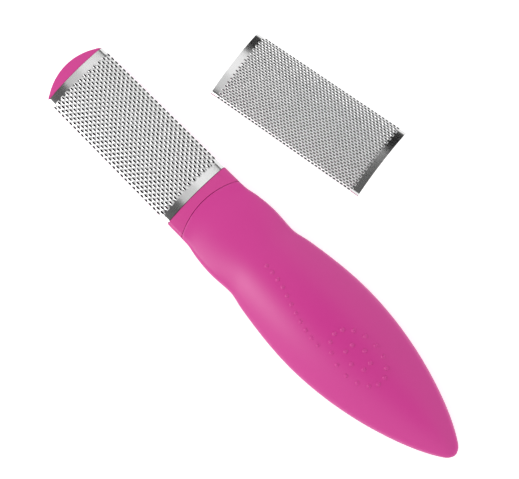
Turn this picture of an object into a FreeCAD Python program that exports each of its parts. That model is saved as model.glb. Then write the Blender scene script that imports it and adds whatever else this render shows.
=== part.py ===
import FreeCAD, Part
import math
import os

import Sketcher
from FreeCAD import Placement, Rotation, Vector

# A foot file: a leaf-shaped handle of two moulded shells, a moulded head clamped in its mouth,
# a coarse rasp sheet clipped over the head and a spare fine one lying beside it.
# Millimetres. X runs along the tool from the nose (-) to the tail (+), Y across it and Z up.
# The origin is under the widest part of the grip, on the flat back that the tool lies on.

SIZES = {
    # The handle's sections stand along X, each a span away from the one nearer the grip.
    "neck_span": 3.65,
    "lip_span": 7.3,
    "throat_span": 8.3,
    "bulge_span": 9.5,
    "waist_span": 4.5,
    "hip_span": 6.0,
    "shoulder_span": 20.0,
    "flank_span": 18.0,
    "taper_span": 19.0,
    "point_span": 13.0,
    "tip_span": 5.2,
    "nib_span": 1.4,
    "tail_span": 0.9,
    # Half the width of each section, seen from above.
    "neck_half_width": 13.15,
    "lip_half_width": 13.26,
    "throat_half_width": 14.05,
    "bulge_half_width": 14.6,
    "waist_half_width": 14.15,
    "hip_half_width": 14.95,
    "shoulder_half_width": 15.85,
    "grip_half_width": 17.3,
    "flank_half_width": 15.8,
    "taper_half_width": 11.3,
    "point_half_width": 6.2,
    "tip_half_width": 3.3,
    "nib_half_width": 2.2,
    "tail_half_width": 0.8,
    # Height of each section above the parting plane.
    "neck_crown": 4.5,
    "lip_crown": 4.75,
    "throat_crown": 5.6,
    "bulge_crown": 6.4,
    "waist_crown": 7.4,
    "hip_crown": 7.9,
    "shoulder_crown": 8.5,
    "grip_crown": 9.4,
    "flank_crown": 8.6,
    "taper_crown": 6.2,
    "point_crown": 4.0,
    "tip_crown": 2.4,
    "nib_crown": 1.7,
    "tail_crown": 0.7,
    # Depth of each section below the parting plane, before the back is cut flat.
    "neck_keel": 5.0,
    "lip_keel": 5.0,
    "throat_keel": 5.0,
    "bulge_keel": 5.0,
    "waist_keel": 5.1,
    "hip_keel": 5.15,
    "shoulder_keel": 5.2,
    "grip_keel": 5.3,
    "flank_keel": 5.1,
    "taper_keel": 4.5,
    "point_keel": 3.6,
    "tip_keel": 2.2,
    "nib_keel": 1.6,
    "tail_keel": 0.7,
    # Corner radius of each section.
    "neck_haunch": 1.4,
    "lip_haunch": 1.46,
    "throat_haunch": 1.9,
    "bulge_haunch": 2.4,
    "waist_haunch": 2.8,
    "hip_haunch": 3.0,
    "shoulder_haunch": 3.2,
    "grip_haunch": 3.4,
    "flank_haunch": 3.2,
    "taper_haunch": 2.7,
    "point_haunch": 2.0,
    "tip_haunch": 1.2,
    "nib_haunch": 0.8,
    "tail_haunch": 0.3,
    # Straight side of each section, from the parting plane to its corner.
    "neck_land": 2.1,
    "lip_land": 2.07,
    "throat_land": 1.85,
    "bulge_land": 1.6,
    "waist_land": 1.2,
    "hip_land": 1.05,
    "shoulder_land": 0.9,
    "grip_land": 0.8,
    "flank_land": 0.8,
    "taper_land": 0.7,
    "point_land": 0.6,
    "tip_land": 0.4,
    "nib_land": 0.3,
    "tail_land": 0.1,
    # The shells.
    "parting_height": 4.6,
    "parting_gap": 0.05,
    "wall": 2.0,
    "inner_haunch": 0.8,
    "inner_land": 0.6,
    # The pins that join the shells, and those that hold the head's tang.
    "boss_radius": 3.2,
    "pin_radius": 1.6,
    "pin_fit": 0.1,
    "pin_rise": 4.0,
    "front_pins_reach": 8.0,
    "front_pins_spread": 8.5,
    "rear_pin_reach": 25.0,
    "tang_pin_radius": 2.0,
    "tang_boss_radius": 3.4,
    "tang_pin_inset": 7.0,
    # The head: nose, bed for the rasp sheet, collar and tang.
    "nose_length": 4.4,
    "nose_radius": 20.5,
    "nose_corner_radius": 1.6,
    "collar_length": 3.7,
    "seam_radius": 27.7,
    "seam_reach": 5.0,
    "seam_gap": 0.15,
    "tang_length": 22.0,
    "tang_fit": 0.15,
    "channel_width": 3.6,
    "channel_depth": 1.3,
    "channel_end": 5.0,
    "rib_width": 1.4,
    # The rasp sheets.
    "sheet_length": 64.4,
    "sheet_thickness": 0.4,
    "sheet_end_gap": 0.15,
    "seat_gap": 0.15,
    "flange_drop": 0.3,
    "plain_band": 2.5,
    "plain_side": 0.9,
    "hole_width_share": 0.62,
    "hole_length_share": 0.66,
    "coarse_row_pitch": 1.6,
    "fine_row_pitch": 1.25,
    # The spare sheet's place beside the tool.
    "spare_x": -59.0,
    "spare_y": 44.8,
    "spare_turn": 7.9,
    # The raised grip nubs.
    "nub_width": 1.5,
    "nub_height": 0.35,
    "nub_line_start": -26.0,
    "nub_line_end": 5.0,
    "nub_line_sway": 6.0,
    "nub_oval_x": 17.0,
    "nub_oval_length": 21.0,
    "nub_oval_width": 13.0,
}

# Sections from the grip towards the nose, and from the grip towards the tail.
FORWARD = ("shoulder", "hip", "waist", "bulge", "throat", "lip", "neck")
AFT = ("flank", "taper", "point", "tip", "nib", "tail")
OUTER_STATIONS = FORWARD[::-1] + ("grip",) + AFT
INNER_STATIONS = ("neck", "throat", "bulge", "waist", "shoulder", "grip", "flank", "taper", "point")

# Turns a sketch so that its own X runs across the tool and its own Y up, or down.
FACING_UP = Rotation(Vector(0, 1, 0), Vector(0, 0, 1), Vector(1, 0, 0))
FACING_DOWN = Rotation(Vector(0, -1, 0), Vector(0, 0, -1), Vector(1, 0, 0))

NUBS_ON_LINE = 11
NUBS_ON_OVAL = 15
NUBS_INSIDE_OVAL = 6
OVAL_HALF = 0.5
INNER_OVAL_HALF = 0.22
CHANNELS = 4
MARGIN = 5.0
NOSE_RUN_OUT = 0.05

doc = FreeCAD.newDocument("foot_file")
dims = doc.addObject("Spreadsheet::Sheet", "dims")
for row, (alias, number) in enumerate(SIZES.items(), start=1):
    dims.set(f"A{row}", alias.replace("_", " "))
    dims.set(f"B{row}", str(number))
    dims.setAlias(f"B{row}", alias)
doc.recompute()


def size(name):
    """A driving dimension, read from the sheet."""
    return float(dims.get(name))


def station_spans(station):
    """The spans that lead from the grip to a section, and the way they run."""
    run = FORWARD if station in FORWARD else AFT
    steps = run[: run.index(station) + 1] if station in run else ()
    return (-1 if run is FORWARD else 1), [f"{step}_span" for step in steps]


def station_x(station):
    """A section's place along the handle."""
    sign, spans = station_spans(station)
    return sign * sum(size(span) for span in spans)


def station_x_rule(station):
    """The same place as an expression."""
    sign, spans = station_spans(station)
    return f"{sign} * (" + " + ".join(["0"] + [f"dims.{span}" for span in spans]) + ")"


def less(name, insets):
    """A size drawn in by named insets: its number and its expression."""
    number = size(name) - sum(size(inset) for inset in insets)
    return number, " - ".join([f"dims.{name}"] + [f"dims.{inset}" for inset in insets])


def crown_radius(half_width, rise, haunch, land):
    """Radius of the arc that tops an arch with rounded corners and short straight sides."""
    arch = rise - land
    return ((half_width - haunch) ** 2 + arch ** 2 - haunch ** 2) / (2 * (arch - haunch))


def crown_radius_rule(half_width, rise, haunch, land):
    """The same radius as an expression."""
    arch = f"(({rise}) - ({land}))"
    top = f"((({half_width}) - ({haunch}))^2 + {arch}^2 - ({haunch})^2)"
    return f"{top} / (2 * ({arch} - ({haunch})))"


def arch_sizes(station, rise, insets=(), inner=False):
    """Half width, rise, corner and side of a section, as numbers with their expressions."""
    corner_insets = [inset for inset in insets if not (inner and inset == "wall")]
    return {
        "half_width": less(f"{station}_half_width", insets),
        "rise": less(f"{station}_{rise}", insets),
        "haunch": less("inner_haunch" if inner else f"{station}_haunch", corner_insets),
        "land": less("inner_land" if inner else f"{station}_land", ()),
    }


def constrain(sketch, kind, *parts, name=None, rule=None):
    """Add one constraint, with a name and an expression where it holds a size."""
    index = sketch.addConstraint(Sketcher.Constraint(kind, *parts))
    if name:
        sketch.renameConstraint(index, name)
        sketch.setExpression(f"Constraints.{name}", rule)


START, END, CENTRE = 1, 2, 3
H_AXIS, V_AXIS, ROOT = -1, -2, -1


def draw_arch(sketch, tag, sizes, way=1, foot=None, placed=True):
    """Draw a side, corner, crown, corner and side; way is 1 for an arch and -1 for a keel.

    The sides start on the sketch's X axis, or at the height that foot gives. An arch that isn't
    placed has its feet tied to another one by the caller.
    """
    width, width_rule = sizes["half_width"]
    rise, rise_rule = sizes["rise"]
    corner, corner_rule = sizes["haunch"]
    land, land_rule = sizes["land"]
    foot_height, foot_rule = foot or (0.0, None)
    radius = crown_radius(width, rise, corner, land)
    crown_y = rise - radius
    lean = math.atan2(land - crown_y, width - corner)

    def arc(x, y, r, first, last):
        if way < 0:
            first, last = -last, -first
        circle = Part.Circle(Vector(x, way * y, 0), Vector(0, 0, 1), r)
        return sketch.addGeometry(Part.ArcOfCircle(circle, first, last), False)

    def line(x, y0, y1):
        return sketch.addGeometry(Part.LineSegment(Vector(x, way * y0, 0), Vector(x, way * y1, 0)), False)

    right = line(width, foot_height, land)
    right_corner = arc(width - corner, land, corner, 0, lean)
    crown = arc(0, crown_y, radius, lean, math.pi - lean)
    left_corner = arc(corner - width, land, corner, math.pi - lean, math.pi)
    left = line(-width, land, foot_height)

    first, last = (START, END) if way > 0 else (END, START)
    constrain(sketch, "Tangent", right, END, right_corner, first)
    constrain(sketch, "Tangent", right_corner, last, crown, first)
    constrain(sketch, "Tangent", crown, last, left_corner, first)
    constrain(sketch, "Tangent", left_corner, last, left, START)
    constrain(sketch, "Vertical", right)
    constrain(sketch, "Vertical", left)
    if foot:
        constrain(sketch, "DistanceY", ROOT, START, right, START, foot_height,
                  name=f"{tag}_foot", rule=foot_rule)
        constrain(sketch, "Symmetric", right, START, left, END, V_AXIS)
    elif placed:
        constrain(sketch, "PointOnObject", right, START, H_AXIS)
        constrain(sketch, "Symmetric", right, START, left, END, ROOT, START)
    if placed:
        constrain(sketch, "DistanceX", ROOT, START, right, START, width,
                  name=f"{tag}_half_width", rule=width_rule)
    ends = (ROOT, START, right, END) if way > 0 else (right, END, ROOT, START)
    constrain(sketch, "DistanceY", *ends, land, name=f"{tag}_land", rule=land_rule)
    constrain(sketch, "Equal", right, left)
    constrain(sketch, "Radius", right_corner, corner, name=f"{tag}_haunch", rule=corner_rule)
    constrain(sketch, "Equal", right_corner, left_corner)
    radius_rule = crown_radius_rule(width_rule, rise_rule, corner_rule, land_rule)
    constrain(sketch, "Radius", crown, radius, name=f"{tag}_crown", rule=radius_rule)
    return right, left


def join_line(sketch, a, a_end, b, b_end):
    """Close a gap between two drawn ends with a straight line."""
    ends = [sketch.getPoint(a, a_end), sketch.getPoint(b, b_end)]
    line = sketch.addGeometry(Part.LineSegment(*ends), False)
    constrain(sketch, "Coincident", line, START, a, a_end)
    constrain(sketch, "Coincident", line, END, b, b_end)
    return line


def closed_arch(name, facing, place, place_rule, sizes):
    """A free-standing section: an arch closed by its base on the parting plane."""
    sketch = doc.addObject("Sketcher::SketchObject", name)
    sketch.Placement = Placement(Vector(place, 0, size("parting_height")), facing)
    sketch.setExpression("Placement.Base.x", place_rule)
    sketch.setExpression("Placement.Base.z", "dims.parting_height")
    right, left = draw_arch(sketch, "arch", sizes)
    join_line(sketch, left, END, right, START)
    return sketch


def bind(thing, **rules):
    """Tie properties of an object to expressions; a double underscore stands for a dot."""
    for prop, rule in rules.items():
        thing.setExpression(prop.replace("__", "."), rule)
    return thing


def handle_loft(name, facing, rise):
    """The outside of one half of the handle, running out to a blunt point at the tail."""
    sections = []
    for station in OUTER_STATIONS:
        sizes = arch_sizes(station, rise)
        rule = station_x_rule(station)
        sections.append(closed_arch(f"{name}_{station}", facing, station_x(station), rule, sizes))
    loft = doc.addObject("Part::Loft", name)
    loft.Sections = sections
    loft.Solid = True
    return loft


def hollow_loft(name, facing, rise):
    """The room inside one half of the handle, open at the mouth and straight between its sections."""
    sections = []
    for station in INNER_STATIONS:
        sizes = arch_sizes(station, rise, ("wall",), inner=True)
        rule = station_x_rule(station)
        sections.append(closed_arch(f"{name}_{station}", facing, station_x(station), rule, sizes))
    loft = doc.addObject("Part::Loft", name)
    loft.Sections = sections
    loft.Solid = True
    loft.Ruled = True
    return loft


def post(name, x_rule, y_rule, z_rule, radius_rule, height_rule):
    """An upright cylinder."""
    cylinder = doc.addObject("Part::Cylinder", name)
    bind(cylinder, Placement__Base__x=x_rule, Placement__Base__y=y_rule, Placement__Base__z=z_rule)
    return bind(cylinder, Radius=radius_rule, Height=height_rule)


def fuse(name, things):
    """Join solids into one."""
    joined = doc.addObject("Part::MultiFuse", name)
    joined.Shapes = things
    return joined


def cut(name, base, tool):
    """Take one solid out of another."""
    result = doc.addObject("Part::Cut", name)
    result.Base = base
    result.Tool = tool
    return result


NECK_X = station_x_rule("neck")
FRONT_PIN_X = "-dims.front_pins_reach"
SHELL_PINS = {
    "left": (FRONT_PIN_X, "dims.front_pins_spread"),
    "right": (FRONT_PIN_X, "-dims.front_pins_spread"),
    "rear": ("dims.rear_pin_reach", "0"),
}
TANG_PINS = {
    "outer": f"{NECK_X} + dims.tang_pin_inset",
    "inner": f"{NECK_X} + dims.tang_length - dims.tang_pin_inset",
}
SEAM_CENTRE = f"{NECK_X} + dims.seam_radius"
PARTING = "dims.parting_height"
TANG_TOP = "dims.parting_height + dims.neck_crown - dims.wall - dims.tang_fit"
TALL = "4 * dims.grip_crown"


def nub_places():
    """Where the nubs stand: a swaying line that runs into an oval."""
    start, end = size("nub_line_start"), size("nub_line_end")
    places = []
    for index in range(NUBS_ON_LINE):
        share = index / (NUBS_ON_LINE - 1)
        sway = size("nub_line_sway") * math.sin(share * math.pi / 2) ** 2
        places.append((start + share * (end - start), -sway))
    for count, scale in ((NUBS_ON_OVAL, OVAL_HALF), (NUBS_INSIDE_OVAL, INNER_OVAL_HALF)):
        for index in range(count):
            angle = 2 * math.pi * (index + 0.5) / count
            x = size("nub_oval_x") + scale * size("nub_oval_length") * math.cos(angle)
            places.append((x, scale * size("nub_oval_width") * math.sin(angle)))
    return places


def nubs_on(surface):
    """Low domes standing on a crowned surface."""
    half, height = size("nub_width") / 2, size("nub_height")
    radius = (half ** 2 + height ** 2) / (2 * height)
    domes = []
    for x, y in nub_places():
        plumb = Part.makeLine(Vector(x, y, size("parting_height") + MARGIN / 2), Vector(x, y, 10 * MARGIN))
        level = max(vertex.Z for vertex in plumb.section(surface).Vertexes)
        domes.append(Part.makeSphere(radius, Vector(x, y, level + height - radius), Vector(1, 0, 0)))
    nubs = doc.addObject("Part::Feature", "nubs")
    nubs.Shape = Part.makeCompound(domes)
    return nubs


def rounded_mouth(name, shell):
    """Round the front of a shell in plan, so that it fits the head's hollow collar."""
    block = doc.addObject("Part::Box", f"{name}_block")
    bind(block, Length=f"dims.seam_radius + {MARGIN}", Width="4 * dims.seam_radius", Height=TALL)
    bind(block, Placement__Base__x=f"{NECK_X} - {MARGIN}", Placement__Base__y="-2 * dims.seam_radius",
         Placement__Base__z="-2 * dims.grip_crown")
    kept = post(f"{name}_bow", SEAM_CENTRE, "0", "-2 * dims.grip_crown", "dims.seam_radius", TALL)
    return cut(f"{name}_mouth", shell, cut(f"{name}_waste", block, kept))


def upper_shell():
    """The crowned half, with the sockets that the pins enter and the bosses that press the tang."""
    outside = handle_loft("upper_outside", FACING_UP, "crown")
    inside = hollow_loft("upper_inside", FACING_UP, "crown")
    bosses = []
    sockets = []
    for name, (x, y) in SHELL_PINS.items():
        bosses.append(post(f"upper_boss_{name}", x, y, PARTING, "dims.boss_radius", TALL))
        low = f"{PARTING} - {MARGIN}"
        depth = f"dims.pin_rise + dims.pin_fit + {MARGIN}"
        sockets.append(post(f"upper_socket_{name}", x, y, low, "dims.pin_radius + dims.pin_fit", depth))
    for name, x in TANG_PINS.items():
        low = f"{TANG_TOP} + dims.tang_fit"
        bosses.append(post(f"upper_tang_boss_{name}", x, "0", low, "dims.tang_boss_radius", TALL))
    room = cut("upper_room", inside, fuse("upper_bosses", bosses))
    shell = cut("upper_hollow", outside, room)
    shell = cut("upper_socketed", shell, fuse("upper_sockets", sockets))
    shell = rounded_mouth("upper", shell)
    doc.recompute()
    shell = fuse("upper_nubbed", [shell, nubs_on(outside.Shape)])
    shell.Label = "upper_shell"
    return shell


def lower_shell():
    """The back half, cut flat where the tool lies, with the pins."""
    outside = handle_loft("lower_outside", FACING_DOWN, "keel")
    inside = hollow_loft("lower_inside", FACING_DOWN, "keel")
    bosses = []
    pins = []
    for name, (x, y) in SHELL_PINS.items():
        height = f"{PARTING} - dims.parting_gap"
        bosses.append(post(f"lower_boss_{name}", x, y, "0", "dims.boss_radius", height))
        pins.append(post(f"pin_{name}", x, y, "dims.wall / 2", "dims.pin_radius",
                         f"{PARTING} + dims.pin_rise - dims.wall / 2"))
    for name, x in TANG_PINS.items():
        pins.append(post(f"tang_pin_{name}", x, "0", "dims.wall / 2", "dims.tang_pin_radius",
                         f"{TANG_TOP} - dims.wall / 2"))
    room = cut("lower_room", inside, fuse("lower_bosses", bosses))
    shell = cut("lower_hollow", outside, room)
    shell = rounded_mouth("lower", fuse("lower_pinned", [shell] + pins))
    ground = doc.addObject("Part::Box", "lower_ground")
    bind(ground, Length="10 * dims.grip_half_width", Width="4 * dims.grip_half_width",
         Height="dims.grip_keel")
    bind(ground, Placement__Base__x="-5 * dims.grip_half_width",
         Placement__Base__y="-2 * dims.grip_half_width", Placement__Base__z="-dims.grip_keel")
    shell = cut("lower_flat", shell, ground)
    shell.Label = "lower_shell"
    return shell


SEAM_X = f"{NECK_X} - dims.seam_gap"
BAY_REAR_X = f"{NECK_X} - dims.seam_gap - dims.collar_length"
BAY_LENGTH = "dims.sheet_length + 2 * dims.sheet_end_gap"
NOSE_X = f"{BAY_REAR_X} - ({BAY_LENGTH}) - dims.nose_length"


def plane_of(body, role):
    """One of a body's own origin planes."""
    return next(item for item in body.Origin.OriginFeatures if item.Role == role)


def sketch_on(body, name, role, **rules):
    """A sketch on an origin plane, moved along and off it by expressions."""
    sketch = body.newObject("Sketcher::SketchObject", name)
    sketch.AttachmentSupport = [(plane_of(body, role), "")]
    sketch.MapMode = "FlatFace"
    for axis, rule in rules.items():
        sketch.setExpression(f"AttachmentOffset.Base.{axis}", rule)
    return sketch


def double_arch(sketch, up, down):
    """A closed outline: an arch above the parting plane and a keel below it."""
    upper_right, upper_left = draw_arch(sketch, "upper", up)
    lower_right, lower_left = draw_arch(sketch, "lower", down, way=-1, placed=False)
    for upper, lower, end in ((upper_right, lower_right, START), (upper_left, lower_left, END)):
        constrain(sketch, "Coincident", upper, end, lower, end)


def rectangle(sketch, tag, corner, corner_rules, lengths, length_rules):
    """An upright rectangle set out from the sketch's root."""
    (x, y), (length, width) = corner, lengths
    points = [Vector(x, y, 0), Vector(x + length, y, 0)]
    points += [Vector(x + length, y + width, 0), Vector(x, y + width, 0)]
    sides = [
        sketch.addGeometry(Part.LineSegment(points[index], points[(index + 1) % 4]), False)
        for index in range(4)
    ]
    for index in range(4):
        constrain(sketch, "Coincident", sides[index], END, sides[(index + 1) % 4], START)
        constrain(sketch, "Horizontal" if index % 2 == 0 else "Vertical", sides[index])
    constrain(sketch, "DistanceX", ROOT, START, sides[0], START, x, name=f"{tag}_x", rule=corner_rules[0])
    constrain(sketch, "DistanceY", ROOT, START, sides[0], START, y, name=f"{tag}_y", rule=corner_rules[1])
    constrain(sketch, "DistanceX", sides[0], START, sides[0], END, length,
              name=f"{tag}_length", rule=length_rules[0])
    constrain(sketch, "DistanceY", sides[1], START, sides[1], END, width,
              name=f"{tag}_width", rule=length_rules[1])


def circle_at(sketch, tag, x, x_rule, radius, radius_rule):
    """A circle on the sketch's X axis."""
    ring = sketch.addGeometry(Part.Circle(Vector(x, 0, 0), Vector(0, 0, 1), radius), False)
    constrain(sketch, "PointOnObject", ring, CENTRE, H_AXIS)
    constrain(sketch, "DistanceX", ROOT, START, ring, CENTRE, x, name=f"{tag}_x", rule=x_rule)
    constrain(sketch, "Radius", ring, radius, name=f"{tag}_radius", rule=radius_rule)


def pad(body, name, sketch, length_rule):
    """Grow a sketch along its own normal."""
    feature = body.newObject("PartDesign::Pad", name)
    feature.Profile = sketch
    return bind(feature, Length=length_rule)


def pocket(body, name, sketch, length_rule=None, reverse=False):
    """Cut a sketch against its own normal, or along it; right through where no length is given."""
    feature = body.newObject("PartDesign::Pocket", name)
    feature.Profile = sketch
    feature.Reversed = reverse
    if length_rule:
        return bind(feature, Length=length_rule)
    feature.Type = "ThroughAll"
    return feature


def seam_x():
    """Where the head's collar meets the handle."""
    return station_x("neck") - size("seam_gap")


def bay_length():
    """Room along the head for a rasp sheet."""
    return size("sheet_length") + 2 * size("sheet_end_gap")


def bay_rear_x():
    """The collar's front face."""
    return seam_x() - size("collar_length")


def nose_x():
    """The foremost point of the tool."""
    return bay_rear_x() - bay_length() - size("nose_length")


def nose_sketch(body):
    """What the rounded nose leaves of the head's square front end.

    The corner arcs run out a hair beyond the head's sides, so that they cut them cleanly.
    """
    radius, corner, tip = size("nose_radius"), size("nose_corner_radius"), nose_x()
    flank = size("neck_half_width") + NOSE_RUN_OUT
    reach = flank + MARGIN
    bow_x = tip + radius
    corner_x = bow_x - math.sqrt((radius - corner) ** 2 - (flank - corner) ** 2)
    lean = math.atan2(flank - corner, bow_x - corner_x)
    sketch = sketch_on(body, "nose_front", "XY_Plane")

    def arc(x, y, r, first, last):
        circle = Part.Circle(Vector(x, y, 0), Vector(0, 0, 1), r)
        return sketch.addGeometry(Part.ArcOfCircle(circle, first, last), False)

    left = arc(corner_x, flank - corner, corner, math.pi / 2, math.pi - lean)
    bow = arc(bow_x, 0, radius, math.pi - lean, math.pi + lean)
    right = arc(corner_x, corner - flank, corner, math.pi + lean, 3 * math.pi / 2)
    corners = [Vector(corner_x, -flank, 0), Vector(corner_x, -reach, 0), Vector(tip - MARGIN, -reach, 0)]
    corners += [Vector(tip - MARGIN, reach, 0), Vector(corner_x, reach, 0), Vector(corner_x, flank, 0)]
    sides = [sketch.addGeometry(Part.LineSegment(a, b), False) for a, b in zip(corners, corners[1:])]
    constrain(sketch, "Tangent", left, END, bow, START)
    constrain(sketch, "Tangent", bow, END, right, START)
    constrain(sketch, "Coincident", right, END, sides[0], START)
    for before, after in zip(sides, sides[1:]):
        constrain(sketch, "Coincident", before, END, after, START)
    constrain(sketch, "Coincident", sides[-1], END, left, START)
    for index, side in enumerate(sides):
        constrain(sketch, "Vertical" if index % 2 == 0 else "Horizontal", side)
    constrain(sketch, "Vertical", left, START, left, CENTRE)
    constrain(sketch, "Vertical", right, END, right, CENTRE)
    constrain(sketch, "Equal", left, right)
    constrain(sketch, "PointOnObject", bow, CENTRE, H_AXIS)
    constrain(sketch, "Radius", left, corner, name="corner_radius", rule="dims.nose_corner_radius")
    constrain(sketch, "Radius", bow, radius, name="nose_radius", rule="dims.nose_radius")
    constrain(sketch, "DistanceX", ROOT, START, bow, CENTRE, bow_x, name="nose_centre",
              rule=f"{NOSE_X} + dims.nose_radius")
    constrain(sketch, "DistanceY", ROOT, START, left, START, flank, name="flank",
              rule=f"dims.neck_half_width + {NOSE_RUN_OUT}")
    constrain(sketch, "DistanceY", sides[2], START, sides[2], END, 2 * reach, name="front_width",
              rule=f"2 * (dims.neck_half_width + {NOSE_RUN_OUT} + {MARGIN})")
    constrain(sketch, "Equal", sides[0], sides[4])
    constrain(sketch, "DistanceX", ROOT, START, sides[2], START, tip - MARGIN, name="front_x",
              rule=f"{NOSE_X} - {MARGIN}")
    return sketch


def bed_sketch(body):
    """All that stands outside the bed: the room of the sheet and its bent sides."""
    insets = ("sheet_thickness", "seat_gap")
    sketch = sketch_on(body, "bed_room", "YZ_Plane", y=PARTING, z=BAY_REAR_X)
    ledge = size("neck_land") - size("flange_drop") - size("seat_gap")
    ledge_rule = "dims.neck_land - dims.flange_drop - dims.seat_gap"
    right, left = draw_arch(sketch, "bed", arch_sizes("neck", "crown", insets), foot=(ledge, ledge_rule))
    reach = size("neck_half_width") + MARGIN
    top = size("neck_crown") + MARGIN
    corners = [Vector(-size("neck_half_width"), ledge, 0), Vector(-reach, ledge, 0), Vector(-reach, top, 0)]
    corners += [Vector(reach, top, 0), Vector(reach, ledge, 0)]
    outer = [sketch.addGeometry(Part.LineSegment(a, b), False) for a, b in zip(corners, corners[1:])]
    outer.append(sketch.addGeometry(Part.LineSegment(corners[-1], sketch.getPoint(right, START)), False))
    constrain(sketch, "Coincident", left, END, outer[0], START)
    for before, after in zip(outer, outer[1:]):
        constrain(sketch, "Coincident", before, END, after, START)
    constrain(sketch, "Coincident", outer[-1], END, right, START)
    for side, kind in zip(outer, ("Horizontal", "Vertical", "Horizontal", "Vertical", "Horizontal")):
        constrain(sketch, kind, side)
    constrain(sketch, "DistanceY", ROOT, START, outer[1], END, top, name="room_top",
              rule=f"dims.neck_crown + {MARGIN}")
    constrain(sketch, "DistanceX", outer[2], START, outer[2], END, 2 * reach, name="room_width",
              rule=f"2 * (dims.neck_half_width + {MARGIN})")
    constrain(sketch, "DistanceX", ROOT, START, outer[3], START, reach, name="room_side",
              rule=f"dims.neck_half_width + {MARGIN}")
    return sketch


def head():
    """Nose, bed and collar in one moulding, with a tang for the handle's mouth."""
    body = doc.addObject("PartDesign::Body", "head")
    outline = sketch_on(body, "head_outline", "YZ_Plane", y=PARTING, z=NOSE_X)
    double_arch(outline, arch_sizes("neck", "crown"), arch_sizes("neck", "keel"))
    pad(body, "head_block", outline,
        f"dims.nose_length + {BAY_LENGTH} + dims.collar_length + dims.seam_reach")
    scoop = sketch_on(body, "collar_bow", "XY_Plane")
    scoop_radius = size("seam_radius") + size("seam_gap")
    circle_at(scoop, "scoop", station_x("neck") + size("seam_radius"), SEAM_CENTRE,
              scoop_radius, "dims.seam_radius + dims.seam_gap")
    pocket(body, "collar_scoop", scoop, reverse=True)
    pocket(body, "nose_round", nose_sketch(body), reverse=True)
    pocket(body, "bed_cut", bed_sketch(body), BAY_LENGTH)
    channels(body)
    tang = sketch_on(body, "tang_outline", "YZ_Plane", y=PARTING, z=SEAM_X)
    insets = ("wall", "tang_fit")
    tang_crown = arch_sizes("neck", "crown", insets, inner=True)
    tang_keel = arch_sizes("neck", "keel", insets, inner=True)
    double_arch(tang, tang_crown, tang_keel)
    pad(body, "tang", tang, "dims.tang_length")
    holes = sketch_on(body, "tang_holes", "XY_Plane")
    bore = size("tang_pin_radius") + size("pin_fit")
    for name, rule in TANG_PINS.items():
        reach = size("tang_pin_inset")
        place = station_x("neck") + (reach if name == "outer" else size("tang_length") - reach)
        circle_at(holes, name, place, rule, bore, "dims.tang_pin_radius + dims.pin_fit")
    pocket(body, "tang_bores", holes, reverse=True)
    ground = sketch_on(body, "head_ground", "XY_Plane")
    far, wide = 4 * size("sheet_length"), 4 * size("neck_half_width")
    rectangle(ground, "ground", (-far, -wide / 2), ("-4 * dims.sheet_length", "-2 * dims.neck_half_width"),
              (far, wide), ("4 * dims.sheet_length", "4 * dims.neck_half_width"))
    pocket(body, "flat_back", ground)
    return body


def channels(body):
    """Long channels between ribs under the sheet, where filings gather."""
    step = size("channel_width") + size("rib_width")
    first = -(CHANNELS - 1) / 2 * step - size("channel_width") / 2
    first_rule = f"-{(CHANNELS - 1) / 2} * (dims.channel_width + dims.rib_width) - dims.channel_width / 2"
    length = bay_length() - 2 * size("channel_end")
    sketch = sketch_on(body, "channel", "XY_Plane", z="dims.parting_height + dims.neck_crown")
    start = bay_rear_x() - bay_length() + size("channel_end")
    rectangle(sketch, "channel", (start, first),
              (f"{BAY_REAR_X} - ({BAY_LENGTH}) + dims.channel_end", first_rule),
              (length, size("channel_width")), (f"{BAY_LENGTH} - 2 * dims.channel_end", "dims.channel_width"))
    one = pocket(body, "channel_cut", sketch, "dims.sheet_thickness + dims.seat_gap + dims.channel_depth")
    row = body.newObject("PartDesign::LinearPattern", "channel_row")
    row.Originals = [one]
    row.Direction = (sketch, ["V_Axis"])
    row.Occurrences = CHANNELS
    bind(row, Length=f"{CHANNELS - 1} * (dims.channel_width + dims.rib_width)")
    body.Tip = row


def arch_points(half_width, rise, corner, land, rows):
    """Corner points of a sheet's crown, one flat for each row of holes, and its tangent points."""
    radius = crown_radius(half_width, rise, corner, land)
    centre = rise - radius
    lean = math.atan2(half_width - corner, land - centre)
    inner = [math.asin(y / radius) for y in rows]
    angles = [-lean] + inner + [lean]
    return [Vector(0, radius * math.sin(a), centre + radius * math.cos(a)) for a in angles]


def sheet_section(pitch, rows):
    """The sheet's cross-section: flats under the rows, rounded bends and short flanges."""
    thickness = size("sheet_thickness")
    sizes = [size(f"neck_{part}") for part in ("half_width", "crown", "haunch", "land")]
    foot = size("neck_land") - size("flange_drop")
    half_width, rise, corner, land = sizes
    radius = crown_radius(half_width, rise, corner, land)
    breaks = [(row + 0.5) * pitch for row in range(-rows - 1, rows + 1)]
    skins = []
    for depth in (0.0, thickness):
        scale = (radius - depth) / radius
        folds = [y * scale for y in breaks]
        crown = arch_points(half_width - depth, rise - depth, corner - depth, land, folds)
        bend = Vector(0, half_width - corner, land)
        edges = [Part.makePolygon(crown)]
        for way in (-1, 1):
            hub = Vector(0, way * bend.y, bend.z)
            tangent = crown[0] if way < 0 else crown[-1]
            side = Vector(0, way * (half_width - depth), land)
            middle = ((tangent - hub) + (side - hub)).normalize() * (corner - depth) + hub
            edges.append(Part.Arc(tangent, middle, side).toShape())
            edges.append(Part.makeLine(side, Vector(0, side.y, foot)))
        skins.append(edges)
    rims = [
        Part.makeLine(Vector(0, way * half_width, foot), Vector(0, way * (half_width - thickness), foot))
        for way in (-1, 1)
    ]
    edges = [edge for part in skins[0] + skins[1] + rims for edge in part.Edges]
    return Part.Face(Part.Wire(Part.__sortEdges__(edges)))


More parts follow.
